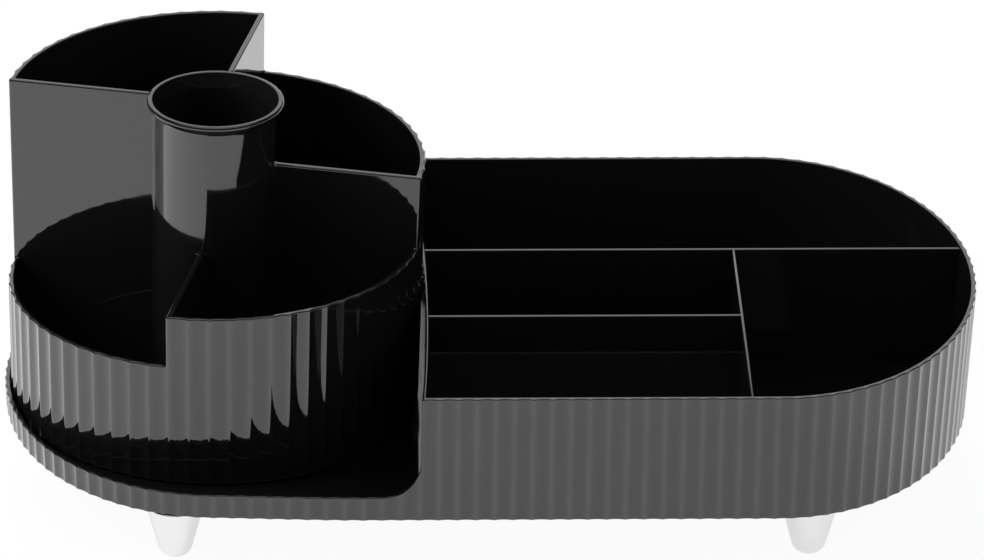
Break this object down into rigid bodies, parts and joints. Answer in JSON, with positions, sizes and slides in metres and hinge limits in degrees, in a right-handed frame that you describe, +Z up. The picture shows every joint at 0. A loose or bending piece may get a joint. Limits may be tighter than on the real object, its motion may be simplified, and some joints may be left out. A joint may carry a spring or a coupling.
{
  "type": "rotating desk organizer",
  "caption": "Desk organizer with a long fluted tray on small feet and a round fluted caddy that turns on one end, with stepped wells and a middle cup for pens.",
  "frame": {"origin": "on the surface it stands on, under the middle of its bounding box", "axes": "+X along the base from the turning caddy to the tray, +Y to the back, +Z up"},
  "size_m": [0.338, 0.19, 0.135],
  "materials": {
    "black_plastic": "high gloss moulded black polystyrene or ABS",
    "plated_foot": "polished bright plating",
    "cage_plastic": "natural white acetal",
    "ball_steel": "polished hardened balls",
    "fastener_steel": "zinc plated"
  },
  "bodies": {
    "base": {"base_tray": "black_plastic", "foot_front_left": "plated_foot", "foot_front_right": "plated_foot", "foot_rear_left": "plated_foot", "foot_rear_right": "plated_foot"},
    "caddy": {"caddy": "black_plastic", "pivot_washer": "fastener_steel", "pivot_screw": "fastener_steel"},
    "cage": {"ball_cage": "cage_plastic", "bearing_ball_01": "ball_steel", "bearing_ball_02": "ball_steel", "bearing_ball_03": "ball_steel", "bearing_ball_04": "ball_steel", "bearing_ball_05": "ball_steel", "bearing_ball_06": "ball_steel", "bearing_ball_07": "ball_steel", "bearing_ball_08": "ball_steel", "bearing_ball_09": "ball_steel", "bearing_ball_10": "ball_steel", "bearing_ball_11": "ball_steel", "bearing_ball_12": "ball_steel"}
  },
  "joints": [
    {"name": "caddy_spin", "type": "hinge", "parent": "base", "child": "caddy", "pos_m": [-0.09508, 0, 0], "axis": [0, 0, 1], "continuous": true},
    {"name": "cage_spin", "type": "hinge", "parent": "base", "child": "cage", "pos_m": [-0.09508, 0, 0], "axis": [0, 0, 1], "continuous": true}
  ],
  "couplings": [
    {"joint": "cage_spin", "follows": "caddy_spin", "ratio": 0.5}
  ]
}
